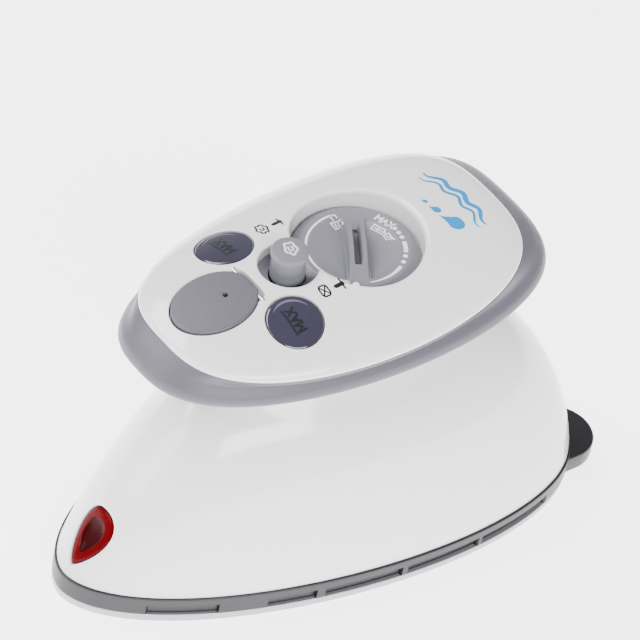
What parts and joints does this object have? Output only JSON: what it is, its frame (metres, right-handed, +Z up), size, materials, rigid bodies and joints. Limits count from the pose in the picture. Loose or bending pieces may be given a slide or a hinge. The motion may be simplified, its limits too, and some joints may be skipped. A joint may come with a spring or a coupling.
{
  "type": "travel steam iron",
  "caption": "Small steam iron with a domed body, mushroom grip with finger gap, turning temperature dial, press-lock steam button and flip-up filler cap.",
  "frame": {"origin": "middle of the ironing face's box, on the ironing face", "axes": "+Z up from the ironing face, the nose points along -X, the heel along +X"},
  "size_m": [0.1671, 0.0812, 0.1009],
  "materials": {
    "white_plastic": "gloss",
    "grey_grip": "satin",
    "grey_control": "satin",
    "dark_skirt": "satin",
    "sole_alloy": "satin",
    "window_smoke": "gloss",
    "red_lens": "gloss",
    "clear_tank": "satin",
    "steel": "brushed",
    "heater_steel": "dull",
    "ceramic": "matte",
    "rubber": "matte",
    "silicone": "matte",
    "lead_red": "gloss",
    "lamp_glass": "gloss",
    "brass": "satin",
    "mica": "matte"
  },
  "bodies": {
    "iron_body": {"soleplate": "sole_alloy", "heating_element": "heater_steel", "element_tabs": "brass", "chamber_gasket": "silicone", "chamber_cover": "steel", "chamber_screws": "steel", "thermostat": "ceramic", "thermostat_screws": "steel", "thermal_fuse": "ceramic", "heat_shield": "mica", "heat_skirt": "dark_skirt", "body_screws": "steel", "body_shell": "white_plastic", "side_plugs": "white_plastic", "indicator_lens": "red_lens", "indicator_lamp": "lamp_glass", "lamp_holder": "ceramic", "terminal_block": "ceramic", "internal_leads": "lead_red", "earth_tab": "brass", "sole_clamps": "steel", "cord_gland": "rubber", "cord_clamp": "ceramic", "cord_clamp_screws": "steel", "grip_shell": "grey_grip", "neck_screws": "steel", "top_cover": "white_plastic", "cover_screws": "steel", "water_tank": "clear_tank", "filler_seal": "rubber", "fill_window_left": "window_smoke", "fill_window_right": "window_smoke", "window_seals": "rubber", "cap_hinge_pin": "steel", "button_collar": "grey_control", "needle_spring": "steel", "valve_body": "ceramic", "drip_nozzle": "silicone", "valve_seal": "silicone", "dial_washer": "steel", "shaft_clip": "steel"},
    "dial": {"temperature_dial": "grey_control", "dial_shaft": "steel"},
    "button": {"steam_button": "grey_control", "needle_rod": "steel"},
    "cap": {"filler_cap": "grey_control", "filler_plug": "rubber"}
  },
  "joints": [
    {"name": "dial_turn", "type": "hinge", "parent": "iron_body", "child": "dial", "pos_m": [-0.00289, 0, 0.09094], "axis": [-0.0889, 0, 0.996], "range_deg": [-150, 150]},
    {"name": "steam_press", "type": "slide", "parent": "iron_body", "child": "button", "axis": [-0.0889, 0, 0.996], "range_m": [-0.0035, 0], "stiffness_N_per_m": 500, "springref_m": 0.003, "deforming": ["needle_spring"]},
    {"name": "cap_flip", "type": "hinge", "parent": "iron_body", "child": "cap", "pos_m": [-0.03824, 0, 0.09284], "axis": [0, 1, 0], "range_deg": [0, 95]}
  ]
}
